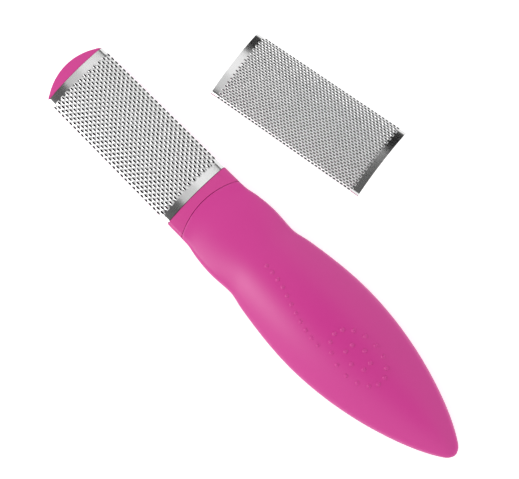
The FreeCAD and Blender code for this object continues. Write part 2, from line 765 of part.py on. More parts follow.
def perforation(pitch, rows):
    """A block with a staggered field of three-sided holes, standing upright through the sheet."""
    length = size("sheet_length")
    reach = size("neck_half_width") + MARGIN
    half = pitch * size("hole_width_share") / 2
    long = pitch * size("hole_length_share")
    first = size("plain_band") + long / 2
    room = length - 2 * first
    full_steps = int(room / pitch)
    first += (room - full_steps * pitch) / 2
    holes = []
    for row in range(-rows, rows + 1):
        for step in range(abs(row) % 2, full_steps + 1, 2):
            x = first + step * pitch
            y = row * pitch
            corners = [Vector(x + long / 2, y, 0), Vector(x - long / 2, y + half, 0)]
            corners += [Vector(x - long / 2, y - half, 0), Vector(x + long / 2, y, 0)]
            holes.append(Part.makePolygon(corners))
    rim = [Vector(-MARGIN, -reach, 0), Vector(length + MARGIN, -reach, 0), Vector(length + MARGIN, reach, 0)]
    rim += [Vector(-MARGIN, reach, 0), Vector(-MARGIN, -reach, 0)]
    face = Part.makeFace([Part.makePolygon(rim)] + holes, "Part::FaceMakerBullseye")
    return face.extrude(Vector(0, 0, size("neck_crown") + MARGIN))


def rasp_sheet(name, pitch, place):
    """A bowed, perforated sheet with its long sides bent down; place is the middle of its flange edges."""
    field = size("neck_half_width") - size("neck_haunch") - size("plain_side")
    rows = int(field / pitch)
    solid = sheet_section(pitch, rows).extrude(Vector(size("sheet_length"), 0, 0))
    sheet = doc.addObject("Part::Feature", name)
    sheet.Shape = solid.common(perforation(pitch, rows)).Solids[0]
    centring = Vector(-size("sheet_length") / 2, 0, size("flange_drop") - size("neck_land"))
    sheet.Placement = place * Placement(centring, Rotation())
    return sheet


def mounted_sheet():
    """The coarse sheet, clipped over the head's bed."""
    height = size("parting_height") + size("neck_land") - size("flange_drop")
    place = Placement(Vector(bay_rear_x() - bay_length() / 2, 0, height), Rotation())
    return rasp_sheet("coarse_rasp", size("coarse_row_pitch"), place)


def spare_sheet():
    """The fine sheet, lying on its flanges beside the tool."""
    turn = Rotation(Vector(0, 0, 1), size("spare_turn"))
    place = Placement(Vector(size("spare_x"), size("spare_y"), 0), turn)
    return rasp_sheet("fine_rasp", size("fine_row_pitch"), place)


pieces = [upper_shell(), lower_shell(), head(), mounted_sheet(), spare_sheet()]
doc.recompute()

for thing in doc.Objects:
    if "Invalid" in thing.State or "Error" in thing.State:
        raise RuntimeError(f"{thing.Name} failed: {thing.State}")
for piece in pieces:
    if piece.Shape.isNull() or not piece.Shape.isValid():
        raise RuntimeError(f"{piece.Label} has no valid shape")
    if len(piece.Shape.Solids) != 1:
        raise RuntimeError(f"{piece.Label} is in {len(piece.Shape.Solids)} pieces")

os.makedirs("parts", exist_ok=True)
for piece in pieces:
    piece.Shape.exportStep(f"parts/{piece.Label}.step")
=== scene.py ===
import math

import bmesh
import bpy
import numpy as np
from mathutils import Matrix, Vector


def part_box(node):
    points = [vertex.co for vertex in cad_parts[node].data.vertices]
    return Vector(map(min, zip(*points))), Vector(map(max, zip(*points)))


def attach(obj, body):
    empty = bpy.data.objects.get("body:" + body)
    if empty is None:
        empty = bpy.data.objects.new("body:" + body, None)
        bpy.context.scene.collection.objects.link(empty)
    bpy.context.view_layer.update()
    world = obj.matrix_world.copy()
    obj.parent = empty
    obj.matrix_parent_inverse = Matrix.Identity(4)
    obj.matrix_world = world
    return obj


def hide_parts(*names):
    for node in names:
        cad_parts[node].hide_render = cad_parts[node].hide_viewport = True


# A foot file with a moulded pink handle and head, a clip-on coarse rasp sheet and a loose fine one.
# Lengths are written in millimetres and turned to metres by MM where a mesh or light is made.

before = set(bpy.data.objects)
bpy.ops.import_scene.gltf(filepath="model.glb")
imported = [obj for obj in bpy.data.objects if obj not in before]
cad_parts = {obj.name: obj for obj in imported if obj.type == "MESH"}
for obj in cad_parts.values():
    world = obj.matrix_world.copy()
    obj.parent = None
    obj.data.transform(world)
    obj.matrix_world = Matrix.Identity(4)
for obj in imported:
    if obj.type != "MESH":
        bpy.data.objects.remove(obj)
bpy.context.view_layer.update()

MM = 0.001
PARTING = 4.6

# Sections of the handle from its mouth to its tail:
# place along the tool, half width, height above the parting line, depth below it, corner, straight side.
HANDLE_SECTIONS = (
    (-59.25, 13.15, 4.5, 5.0, 1.4, 2.1),
    (-55.6, 13.26, 4.75, 5.0, 1.46, 2.07),
    (-48.3, 14.05, 5.6, 5.0, 1.9, 1.85),
    (-40.0, 14.6, 6.4, 5.0, 2.4, 1.6),
    (-36.5, 14.42, 6.76, 5.03, 2.55, 1.45),
    (-32.5, 14.13, 7.18, 5.08, 2.72, 1.28),
    (-30.0, 14.2, 7.46, 5.1, 2.82, 1.18),
    (-26.5, 14.88, 7.84, 5.15, 2.98, 1.06),
    (-23.5, 15.4, 8.17, 5.17, 3.08, 0.98),
    (-20.0, 15.88, 8.5, 5.2, 3.2, 0.9),
    (0.0, 17.3, 9.4, 5.3, 3.4, 0.8),
    (18.0, 15.8, 8.6, 5.1, 3.2, 0.8),
    (37.0, 11.3, 6.2, 4.5, 2.7, 0.7),
    (50.0, 6.2, 4.0, 3.6, 2.0, 0.6),
    (55.2, 3.3, 2.4, 2.2, 1.2, 0.4),
    (56.6, 2.2, 1.7, 1.6, 0.8, 0.3),
    (57.5, 0.8, 0.7, 0.7, 0.3, 0.1),
)
RISE, DEPTH = 2, 3
SECTION_STEPS = 150
CROWN_STEPS = 28
CORNER_STEPS = 7

# The seam between handle and head, an arc in plan that fades out along the handle.
SEAM_CHAMFER = 0.15
SEAM_RADIUS = 27.7
SEAM_FADE = 12.0

# The hollow inside the handle, which sinks to the parting line before the tail.
WALL = 2.0
HOLLOW_CORNER = 0.5
HOLLOW_LAND = 0.4
HOLLOW_END = 40.0
HOLLOW_FADE = 16.0
HOLLOW_LEAST = 0.05

# The head's softened edges: their width, the least angle, the room that they need, and where they end,
# short of the seam.
SOFT_EDGE = 0.2
SOFT_ANGLE = 40
SOFT_ROOM = 0.5
SOFT_FRONT = -60.0

# The sheets, which share one bent section.
SHEET_LENGTH = 64.4
SHEET_THICKNESS = 0.4
SHEET_HALF_WIDTH, SHEET_RISE, SHEET_BEND, SHEET_LAND = HANDLE_SECTIONS[0][1:3] + HANDLE_SECTIONS[0][4:6]
FLANGE = 0.3
COARSE = {"row": 1.07, "step": 2.13, "rows": 25, "columns": 27, "tooth": 0.2, "hole": (0.37, 0.3)}
FINE = {"row": 0.77, "step": 1.54, "rows": 34, "columns": 38, "tooth": 0.18, "hole": (0.38, 0.33)}
SPARE_TURN = 7.9

# One tooth: its foot, lip and throat as shares of its step along the sheet and its row across it,
# and its lip's level as a share of the tooth's height.
TOOTH_SIDES = 8
FOOT_SHARE = (0.49, 0.495)
LIP_SHIFT = 0.02
LIP_MEAN, LIP_SWING = 0.55, 0.45
THROAT_SHIFT = -0.13
THROAT_SHARE = (0.05, 0.07)

# Raised nubs on the grip: a swaying line that runs into an oval.
NUB_WIDTH = 1.5
NUB_HEIGHT = 0.4
NUB_LINE = {"count": 11, "start": -26.0, "end": 5.0, "sway": 6.0}
NUB_OVALS = ({"count": 15, "share": 0.5}, {"count": 6, "share": 0.22})
NUB_OVAL = {"x": 17.0, "length": 21.0, "width": 13.0}
# A nub's rings from its sunken foot up, as shares of its width and height.
NUB_RINGS = ((1.2, -0.5), (1.0, 0.0), (0.72, 0.62), (0.36, 0.93))
NUB_SIDES = 10
NUB_FALL = 30.0

# Points closer than a weld are one; edges sharper than a crease, in degrees, stay sharp.
WELD, SHEET_WELD = 0.001, 0.01
FLAT_ANGLE = 0.5
MOULDED_CREASE, SHEET_CREASE, NUB_CREASE = 35, 30, 60

# Marks in the materials: flow marks and mould grain in the plastic, rolling lines in the steel,
# the depths of grain and lines, and how far the plastic's roughness strays.
FLOW_MARK, MOULD_GRAIN = 40.0, 0.5
ROLL_LENGTH, ROLL_GAP = 12.0, 0.12
GRAIN_DEPTH, ROLL_DEPTH = 0.02, 0.01
GLOSS_SPREAD = 0.04

# The width of the photograph's frame, in pixels, and the camera that was fitted to it.
FRAME_WIDTH = 519
CAMERA_TILT, CAMERA_SWING, CAMERA_ROLL = math.radians(23.5), math.radians(-0.94), math.radians(45.85)
CAMERA_AIM = Vector((-37.34, 4.41, 5.0)) * MM
CAMERA_DISTANCE = 574.7 * MM
FOCAL_PIXELS = 1790.8
SENSOR_WIDTH = 36.0
NEAREST = 10.0

# The floor lies a hair below the part, so that no face lies in it.
FLOOR_DROP = 0.02
FLOOR_REACH = 3000.0
FLOOR_GLOW = 0.52

# The dome of light, with a dark patch round one way that deepens towards the spare sheet's side.
DOME_LEVEL = 1.0
DARK_LEVELS, DARK_SIDES = (0.11, 0.0), (-0.35, 0.3)
DARK_WAY = (-0.42, 0.0, 0.907)
DARK_CORE, DARK_EDGE = math.radians(23), math.radians(33)

# The lamps: two cards side by side above the sheets, a grey and a white one, and a key light from the side.
GREY_CARD = {"place": (-247, -13.5, 300), "aim": (-247, -13.5, 0), "width": 165, "height": 67,
             "power": 0.0216}
WHITE_CARD = {"place": (-247, 69.5, 300), "aim": (-247, 69.5, 0), "width": 165, "height": 99, "power": 0.048}
KEY = {"place": (-470, -425, 390), "aim": (-50, 0, 8), "width": 280, "height": 240, "power": 1.6}


def linear(code):
    """An sRGB hex colour as linear red, green, blue and alpha."""
    parts = [int(code[i:i + 2], 16) / 255 for i in (1, 3, 5)]
    return [p / 12.92 if p <= 0.04045 else ((p + 0.055) / 1.055) ** 2.4 for p in parts] + [1.0]


def node(tree, kind, links=None, **settings):
    """Add one node, set its properties, fill its inputs and link what is given as a socket."""
    made = tree.nodes.new(kind)
    for name, value in settings.items():
        setattr(made, name, value)
    for key, value in (links or {}).items():
        socket = made.inputs[key]
        if isinstance(value, bpy.types.NodeSocket):
            tree.links.new(value, socket)
        else:
            socket.default_value = value
    return made


def new_material(name):
    """An empty node material with its output."""
    material = bpy.data.materials.new(name)
    material.use_nodes = True
    material.node_tree.nodes.clear()
    output = material.node_tree.nodes.new("ShaderNodeOutputMaterial")
    return material, material.node_tree, output


def moulded_abs(name, colour, deeper, roughness):
    """Pigmented ABS from a lightly sparked mould: a satin gloss over a very fine grain.

    The eye gets an even, slightly waxy pink with a broad soft highlight.
    """
    material, tree, output = new_material(name)
    place = node(tree, "ShaderNodeTexCoord").outputs["Object"]
    # Flow marks shift the colour a little. The mould's grain is drawn coarser than it is, so that it shows.
    flow = node(tree, "ShaderNodeTexNoise", {"Vector": place, "Scale": 1 / (FLOW_MARK * MM), "Detail": 2.0})
    grain = node(tree, "ShaderNodeTexNoise", {"Vector": place, "Scale": 1 / (MOULD_GRAIN * MM),
                                              "Detail": 2.0})
    tint = node(tree, "ShaderNodeMix", {"Factor": flow.outputs["Fac"]}, data_type="RGBA")
    tint.inputs["A"].default_value = linear(deeper)
    tint.inputs["B"].default_value = linear(colour)
    gloss = node(tree, "ShaderNodeMapRange", {
        "Value": grain.outputs["Fac"], "To Min": roughness - GLOSS_SPREAD, "To Max": roughness + GLOSS_SPREAD,
    })
    bump = node(tree, "ShaderNodeBump", {"Height": grain.outputs["Fac"], "Strength": 0.08,
                                         "Distance": GRAIN_DEPTH * MM})
    skin = node(tree, "ShaderNodeBsdfPrincipled", {
        "Base Color": tint.outputs["Result"], "Roughness": gloss.outputs["Result"], "IOR": 1.54,
        "Normal": bump.outputs["Normal"],
    })
    tree.links.new(skin.outputs["BSDF"], output.inputs["Surface"])
    return material


def rasp_steel():
    """Stainless strip, rolled bright and then punched: fine rolling lines along the sheet.

    The eye gets hard bright and dark reflections, drawn out a little along the lines.
    """
    material, tree, output = new_material("rolled_stainless_steel")
    place = node(tree, "ShaderNodeTexCoord").outputs["Object"]
    # Real rolling lines are finer and are drawn as coarse as they need to be to show.
    along, across = 1 / (ROLL_LENGTH * MM), 1 / (ROLL_GAP * MM)
    drawn = node(tree, "ShaderNodeMapping", {"Vector": place, "Scale": (along, across, across)})
    lines = node(tree, "ShaderNodeTexNoise", {"Vector": drawn.outputs["Vector"], "Scale": 1.0, "Detail": 3.0})
    gloss = node(tree, "ShaderNodeMapRange", {"Value": lines.outputs["Fac"], "To Min": 0.1, "To Max": 0.2})
    bump = node(tree, "ShaderNodeBump", {"Height": lines.outputs["Fac"], "Strength": 0.1,
                                         "Distance": ROLL_DEPTH * MM})
    skin = node(tree, "ShaderNodeBsdfPrincipled", {
        "Base Color": linear("#EEEEEE"), "Metallic": 1.0, "Roughness": gloss.outputs["Result"],
        "Normal": bump.outputs["Normal"],
    })
    tree.links.new(skin.outputs["BSDF"], output.inputs["Surface"])
    return material


def worked_and_shaded_steel(name, colour, roughness):
    """Steel that has lost its mirror: punched flanks stretched by the punch, and pits whose dark colour is
    painted shade.

    The eye gets pale, even flanks round each hole, and a neutral dark spot in it, which is painted shade.
    """
    material, tree, output = new_material(name)
    skin = node(tree, "ShaderNodeBsdfPrincipled", {"Base Color": linear(colour), "Metallic": 1.0,
                                                   "Roughness": roughness})
    tree.links.new(skin.outputs["BSDF"], output.inputs["Surface"])
    return material


def paper_floor():
    """A white paper sweep: it shows as white and keeps the object's soft shadow."""
    material, tree, output = new_material("white_paper")
    paper = node(tree, "ShaderNodeBsdfDiffuse", {"Color": linear("#F4F4F4")})
    glow = node(tree, "ShaderNodeEmission", {"Color": linear("#FFFFFF"), "Strength": FLOOR_GLOW})
    both = node(tree, "ShaderNodeAddShader")
    tree.links.new(paper.outputs["BSDF"], both.inputs[0])
    tree.links.new(glow.outputs["Emission"], both.inputs[1])
    seen = node(tree, "ShaderNodeLightPath").outputs
    direct = node(tree, "ShaderNodeMath", {0: seen["Is Camera Ray"], 1: seen["Is Glossy Ray"]},
                  operation="MAXIMUM")
    direct = node(tree, "ShaderNodeMath", {0: direct.outputs["Value"], 1: seen["Is Transmission Ray"]},
                  operation="MAXIMUM")
    mix = node(tree, "ShaderNodeMixShader", {"Fac": direct.outputs["Value"]})
    tree.links.new(paper.outputs["BSDF"], mix.inputs[1])
    tree.links.new(both.outputs["Shader"], mix.inputs[2])
    tree.links.new(mix.outputs["Shader"], output.inputs["Surface"])
    return material


def add_object(name, mesh, material=None):
    """Link a mesh as an object at the origin."""
    made = bpy.data.objects.new(name, mesh)
    bpy.context.scene.collection.objects.link(made)
    if material:
        mesh.materials.clear()
        mesh.materials.append(material)
    return made


def mesh_of(bm, name):
    """Turn an edit mesh into a mesh in metres."""
    bmesh.ops.scale(bm, vec=Vector((MM, MM, MM)), verts=bm.verts)
    mesh = bpy.data.meshes.new(name)
    bm.to_mesh(mesh)
    bm.free()
    return mesh


def shade(made, angle):
    """Smooth shading that keeps edges sharper than an angle, in degrees."""
    bm = bmesh.new()
    bm.from_mesh(made.data)
    for face in bm.faces:
        face.smooth = True
    for edge in bm.edges:
        edge.smooth = len(edge.link_faces) == 2 and edge.calc_face_angle() < math.radians(angle)
    bm.to_mesh(made.data)
    bm.free()


def smooth_line(points, count):
    """Points at even steps along a smooth curve through the given ones."""
    points = np.array(points, float)
    gaps = np.linalg.norm(np.diff(points[:, :2], axis=0), axis=1)
    at = np.concatenate([[0.0], np.cumsum(gaps)])
    size = len(at)
    system, right = np.zeros((size, size)), np.zeros(points.shape)
    system[0, 0] = system[-1, -1] = 1.0
    for i in range(1, size - 1):
        system[i, i - 1:i + 2] = gaps[i - 1], 2 * (gaps[i - 1] + gaps[i]), gaps[i]
        right[i] = 6 * ((points[i + 1] - points[i]) / gaps[i] - (points[i] - points[i - 1]) / gaps[i - 1])
    bend = np.linalg.solve(system, right)
    result = []
    for place in np.linspace(0.0, at[-1], count):
        i = min(np.searchsorted(at, place, side="right") - 1, size - 2)
        a, b, gap = at[i + 1] - place, place - at[i], gaps[i]
        result.append((bend[i] * a ** 3 + bend[i + 1] * b ** 3) / (6 * gap)
                      + (points[i] / gap - bend[i] * gap / 6) * a
                      + (points[i + 1] / gap - bend[i + 1] * gap / 6) * b)
    return result


def crown_radius(half_width, rise, corner, land):
    """Radius of the arc that tops an arch with rounded corners and short straight sides."""
    arch = rise - land
    return ((half_width - corner) ** 2 + arch ** 2 - corner ** 2) / (2 * (arch - corner))


def arch(half_width, rise, corner, land, foot=0.0):
    """Points across an arch, from its right foot over the crown to its left foot."""
    radius = crown_radius(half_width, rise, corner, land)
    centre = rise - radius
    lean = math.atan2(half_width - corner, land - centre)
    right = [(half_width, foot)]
    for i in range(CORNER_STEPS):
        turn = (math.pi / 2 - lean) * i / CORNER_STEPS
        right.append((half_width - corner + corner * math.cos(turn), land + corner * math.sin(turn)))
    crown = [lean * (1 - 2 * i / CROWN_STEPS) for i in range(CROWN_STEPS + 1)]
    top = [(radius * math.sin(a), centre + radius * math.cos(a)) for a in crown]
    return right + top + [(-y, z) for y, z in reversed(right)]


def handle_sections():
    """The handle's sections at even steps, with the mouth's edge rounded in."""
    sections = smooth_line(HANDLE_SECTIONS, SECTION_STEPS)
    mouth = sections[0].copy()
    mouth[1:4] -= SEAM_CHAMFER
    sections[0] = sections[0].copy()
    sections[0][0] += SEAM_CHAMFER
    return [mouth] + sections


def bowed(x, y):
    """A place along the handle, moved back off the middle near the mouth, whose edge is an arc in plan."""
    share = min(max((x - HANDLE_SECTIONS[0][0]) / SEAM_FADE, 0.0), 1.0)
    return x + (SEAM_RADIUS - math.sqrt(SEAM_RADIUS ** 2 - y ** 2)) * (1 - share) ** 2 * (1 + 2 * share)


def hollow(x, half_width, rise):
    """The inside of a shell's section, from left to right; past the hollow's end it is flat."""
    if x > HOLLOW_END:
        count = CROWN_STEPS + 2 * CORNER_STEPS + 3
        return [(half_width * (i / (count - 1) - 0.5), 0.0) for i in range(count)]
    way_in = max((x - HOLLOW_END) / HOLLOW_FADE + 1, 0.0)
    depth = max(math.sqrt(1 - way_in ** 2), HOLLOW_LEAST)
    inner_rise = rise - WALL
    outline = arch(half_width - WALL, inner_rise, HOLLOW_CORNER, HOLLOW_LAND * inner_rise)
    return [(y, z * depth) for y, z in reversed(outline)]


def handle_shell(name, rise_column, way, material):
    """One hollow half of the handle, whose edge along the parting line is chamfered."""
    bm = bmesh.new()
    rings = []
    for section in handle_sections():
        x, half_width, corner, land = section[0], section[1], section[4], section[5]
        rise = section[rise_column]
        chamfer = min(SEAM_CHAMFER, land / 2)
        outline = arch(half_width, rise, corner, land, foot=chamfer)
        base = half_width - chamfer
        outline += [(-base, 0.0)] + hollow(x, half_width, rise) + [(base, 0.0)]
        ring = [bm.verts.new((bowed(x, y), y, max(PARTING + way * z, 0.0))) for y, z in outline]
        rings.append(ring)
    for a, b in zip(rings, rings[1:]):
        for i in range(len(a)):
            j = (i + 1) % len(a)
            bm.faces.new((a[i], a[j], b[j], b[i]))
    bm.faces.new(rings[0])
    bm.faces.new(rings[-1])
    bmesh.ops.recalc_face_normals(bm, faces=bm.faces)
    if bm.calc_volume(signed=True) < 0:
        bmesh.ops.reverse_faces(bm, faces=bm.faces)
    made = add_object(name, mesh_of(bm, name), material)
    shade(made, MOULDED_CREASE)
    return made


def head_moulding(material):
    """The head as packed, with its flat faces made whole and the edges that show softened."""
    bm = bmesh.new()
    bm.from_mesh(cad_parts["head"].data)
    bmesh.ops.remove_doubles(bm, verts=bm.verts, dist=WELD * MM)
    bmesh.ops.dissolve_limit(bm, angle_limit=math.radians(FLAT_ANGLE), verts=bm.verts, edges=bm.edges)
    # An edge is softened where no short edge at its ends would be swallowed.
    room = {vert: min(edge.calc_length() for edge in vert.link_edges) for vert in bm.verts}
    sharp = [edge for edge in bm.edges if edge.calc_face_angle() > math.radians(SOFT_ANGLE)]
    shown = [edge for edge in sharp if all(vert.co.x < SOFT_FRONT * MM for vert in edge.verts)]
    roomy = [edge for edge in shown if all(room[vert] > SOFT_ROOM * MM for vert in edge.verts)]
    bmesh.ops.bevel(bm, geom=roomy, offset=SOFT_EDGE * MM, offset_type="OFFSET", segments=3, profile=0.5,
                    affect="EDGES", clamp_overlap=False)
    mesh = bpy.data.meshes.new("head_moulding")
    bm.to_mesh(mesh)
    bm.free()
    made = add_object("head_moulding", mesh, material)
    shade(made, MOULDED_CREASE)
    # Large faces lead the shading, so that they stay flat beside the softened edges.
    even = made.modifiers.new("even_shading", "WEIGHTED_NORMAL")
    even.keep_sharp = True
    return made


def applied(made):
    """Turn an object's modifiers into its plain mesh."""
    bpy.context.view_layer.update()
    result = bpy.data.meshes.new_from_object(made.evaluated_get(bpy.context.evaluated_depsgraph_get()))
    made.modifiers.clear()
    made.data = result


def sheet_profile():
    """The sheet's bent section as a curve, from one flange's foot over the bow to the other's."""
    outline = arch(SHEET_HALF_WIDTH, SHEET_RISE, SHEET_BEND, SHEET_LAND, foot=SHEET_LAND - FLANGE)
    curve = bpy.data.curves.new("sheet_profile", "CURVE")
    curve.dimensions = "3D"
    spline = curve.splines.new("POLY")
    spline.points.add(len(outline) - 1)
    for point, (y, z) in zip(spline.points, reversed(outline)):
        point.co = (0.0, y * MM, (z - SHEET_LAND + FLANGE) * MM, 1.0)
    length = sum(math.dist(a, b) for a, b in zip(outline, outline[1:]))
    profile = bpy.data.objects.new("sheet_profile", curve)
    bpy.context.scene.collection.objects.link(profile)
    return profile, length


def oval(bm, centre, half_length, half_width, height):
    """Points round an oval; height gives each its level from the angle."""
    angles = [2 * math.pi * i / TOOTH_SIDES for i in range(TOOTH_SIDES)]
    points = [(centre + half_length * math.cos(a), half_width * math.sin(a), height(a)) for a in angles]
    return [bm.verts.new(point) for point in points]


def tooth_tile(grade):
    """One punched hole with its raised cutting lip, and the patch of sheet round it."""
    step, row = grade["step"], grade["row"]
    edge = ((1, 0), (1, 1), (0, 1), (-1, 1), (-1, 0), (-1, -1), (0, -1), (1, -1))
    bm = bmesh.new()
    rim = [bm.verts.new((x * step / 2, y * row / 2, 0.0)) for x, y in edge]
    foot = oval(bm, 0.0, FOOT_SHARE[0] * step, FOOT_SHARE[1] * row, lambda a: 0.0)
    length, width = grade["hole"]
    lip = oval(bm, LIP_SHIFT * step, length * step, width * row,
               lambda a: grade["tooth"] * (LIP_MEAN - LIP_SWING * math.cos(a)))
    throat = oval(bm, THROAT_SHIFT * step, THROAT_SHARE[0] * step, THROAT_SHARE[1] * row,
                  lambda a: -SHEET_THICKNESS)
    under = [bm.verts.new((x * step / 2, y * row / 2, -SHEET_THICKNESS)) for x, y in edge]
    flank, pit = bm.faces.layers.bool.new("flank"), bm.faces.layers.bool.new("pit")
    # Faces from the lip down to the throat are the pit, which takes a dark colour as painted shade in the
    # hole.
    for a, b in ((rim, foot), (foot, lip), (lip, throat), (throat, under)):
        for i in range(TOOTH_SIDES):
            j = (i + 1) % TOOTH_SIDES
            side = bm.faces.new((a[i], a[j], b[j], b[i]))
            side[flank], side[pit] = a in (rim, foot), a is lip
    return add_object("tooth_tile", mesh_of(bm, "tooth_tile"))


def plain_border(grade, width):
    """The sheet's unpunched ends and edges, laid flat, made to meet the field of teeth."""
    row, step = grade["row"], grade["step"]
    half, side = SHEET_LENGTH / 2, width / 2
    field = (grade["columns"] + 0.5) * step / 2
    first = -grade["rows"] * row / 2
    bm = bmesh.new()
    flank = bm.faces.layers.bool.new("flank")

    def patch(x0, x1, y0, y1):
        points = ((x0, y0), (x1, y0), (x1, y1), (x0, y1))
        for level, order in ((0.0, 1), (-SHEET_THICKNESS, -1)):
            corners = [bm.verts.new((x, y, level)) for x, y in points[::order]]
            bm.faces.new(corners)[flank] = min(abs(y0), abs(y1)) >= -first

    def wall(a, b):
        corners = [(*a, -SHEET_THICKNESS), (*b, -SHEET_THICKNESS), (*b, 0.0), (*a, 0.0)]
        bm.faces.new([bm.verts.new(corner) for corner in corners])

    levels = [-side] + [first + i * row / 2 for i in range(2 * grade["rows"] + 1)] + [side]
    for y0, y1 in zip(levels, levels[1:]):
        patch(-half, -field, y0, y1)
        patch(field, half, y0, y1)
        wall((-half, y1), (-half, y0))
        wall((half, y0), (half, y1))
    for i in range(2 * grade["rows"]):
        y0 = first + i * row / 2
        if i // 2 % 2:
            patch(-field, -field + step / 2, y0, y0 + row / 2)
        else:
            patch(field - step / 2, field, y0, y0 + row / 2)
    for i in range(2 * grade["columns"] + 1):
        x0 = -field + i * step / 2
        patch(x0, x0 + step / 2, -side, first)
        patch(x0, x0 + step / 2, -first, side)
        wall((x0, -side), (x0 + step / 2, -side))
        wall((x0 + step / 2, side), (x0, side))
    for x0, x1 in ((-half, -field), (field, half)):
        wall((x0, -side), (x1, -side))
        wall((x1, side), (x0, side))
    return add_object("plain_border", mesh_of(bm, "plain_border"))


def rasp_tree():
    """Nodes that set out a field of teeth, join it to its border and bend it over the sheet's section."""
    tree = bpy.data.node_groups.new("rasp_sheet", "GeometryNodeTree")
    face = tree.interface
    face.new_socket("Geometry", in_out="OUTPUT", socket_type="NodeSocketGeometry")
    for name, kind in (("Tooth", "Object"), ("Border", "Object"), ("Profile", "Object"), ("Row", "Float"),
                       ("Step", "Float"), ("Rows", "Int"), ("Columns", "Int"), ("Width", "Float"),
                       ("Steel", "Material"), ("Flank", "Material"), ("Pit", "Material")):
        face.new_socket(name, in_out="INPUT", socket_type=f"NodeSocket{kind}")
    given = node(tree, "NodeGroupInput").outputs
    # A grid of points, every second row moved by half a step.
    along = node(tree, "ShaderNodeMath", {0: given["Columns"], 1: 1.0}, operation="SUBTRACT").outputs[0]
    across = node(tree, "ShaderNodeMath", {0: given["Rows"], 1: 1.0}, operation="SUBTRACT").outputs[0]
    length = node(tree, "ShaderNodeMath", {0: along, 1: given["Step"]}, operation="MULTIPLY").outputs[0]
    breadth = node(tree, "ShaderNodeMath", {0: across, 1: given["Row"]}, operation="MULTIPLY").outputs[0]
    grid = node(tree, "GeometryNodeMeshGrid", {"Size X": length, "Size Y": breadth,
                                               "Vertices X": given["Columns"], "Vertices Y": given["Rows"]})
    index = node(tree, "GeometryNodeInputIndex").outputs[0]
    parity = node(tree, "ShaderNodeMath", {0: index, 1: given["Rows"]}, operation="MODULO").outputs[0]
    parity = node(tree, "ShaderNodeMath", {0: parity, 1: 2.0}, operation="MODULO").outputs[0]
    shift = node(tree, "ShaderNodeMath", {0: parity, 1: 0.5}, operation="SUBTRACT").outputs[0]
    quarter = node(tree, "ShaderNodeMath", {0: given["Step"], 1: 0.5}, operation="MULTIPLY").outputs[0]
    shift = node(tree, "ShaderNodeMath", {0: shift, 1: quarter}, operation="MULTIPLY").outputs[0]
    offset = node(tree, "ShaderNodeCombineXYZ", {"X": shift})
    points = node(tree, "GeometryNodeMeshToPoints", {"Mesh": grid.outputs["Mesh"]})
    points = node(tree, "GeometryNodeSetPosition", {"Geometry": points.outputs[0],
                                                    "Offset": offset.outputs["Vector"]})
    tooth = node(tree, "GeometryNodeObjectInfo", {"Object": given["Tooth"]})
    field = node(tree, "GeometryNodeInstanceOnPoints", {"Points": points.outputs[0],
                                                        "Instance": tooth.outputs["Geometry"]})
    field = node(tree, "GeometryNodeRealizeInstances", {"Geometry": field.outputs[0]})
    border = node(tree, "GeometryNodeObjectInfo", {"Object": given["Border"]})
    sheet = node(tree, "GeometryNodeJoinGeometry")
    tree.links.new(field.outputs[0], sheet.inputs[0])
    tree.links.new(border.outputs["Geometry"], sheet.inputs[0])
    sheet = node(tree, "GeometryNodeMergeByDistance", {"Geometry": sheet.outputs[0],
                                                       "Distance": SHEET_WELD * MM})
    # Width becomes a way along the section, and height a way off it.
    profile = node(tree, "GeometryNodeObjectInfo", {"Object": given["Profile"]})
    position = node(tree, "GeometryNodeInputPosition").outputs[0]
    flat = node(tree, "ShaderNodeSeparateXYZ", {0: position}).outputs
    middle = node(tree, "ShaderNodeMath", {0: given["Width"], 1: 0.5}, operation="MULTIPLY").outputs[0]
    way = node(tree, "ShaderNodeMath", {0: flat["Y"], 1: middle}, operation="ADD").outputs[0]
    bent = node(tree, "GeometryNodeSampleCurve", {"Curves": profile.outputs["Geometry"], "Length": way},
                mode="LENGTH", use_all_curves=True)
    outward = node(tree, "ShaderNodeVectorMath", {0: (1.0, 0.0, 0.0), 1: bent.outputs["Tangent"]},
                   operation="CROSS_PRODUCT")
    lift = node(tree, "ShaderNodeVectorMath", {0: outward.outputs[0], "Scale": flat["Z"]}, operation="SCALE")
    run = node(tree, "ShaderNodeCombineXYZ", {"X": flat["X"]})
    place = node(tree, "ShaderNodeVectorMath", {0: bent.outputs["Position"], 1: lift.outputs[0]})
    place = node(tree, "ShaderNodeVectorMath", {0: place.outputs[0], 1: run.outputs[0]})
    sheet = node(tree, "GeometryNodeSetPosition", {"Geometry": sheet.outputs[0],
                                                   "Position": place.outputs[0]})
    sheet = node(tree, "GeometryNodeSetMaterial", {"Geometry": sheet.outputs[0], "Material": given["Steel"]})
    # The pit faces take the dark steel, which is painted shade in the holes.
    for part in ("Flank", "Pit"):
        chosen = node(tree, "GeometryNodeInputNamedAttribute", {"Name": part.lower()}, data_type="BOOLEAN")
        sheet = node(tree, "GeometryNodeSetMaterial", {"Geometry": sheet.outputs[0], "Material": given[part],
                                                       "Selection": chosen.outputs["Attribute"]})
    result = node(tree, "NodeGroupOutput")
    tree.links.new(sheet.outputs[0], result.inputs[0])
    return tree


def set_inputs(modifier, values):
    """Fill a node modifier's inputs, found by name."""
    for item in modifier.node_group.interface.items_tree:
        if item.in_out == "INPUT" and item.name in values:
            modifier[item.identifier] = values[item.name]


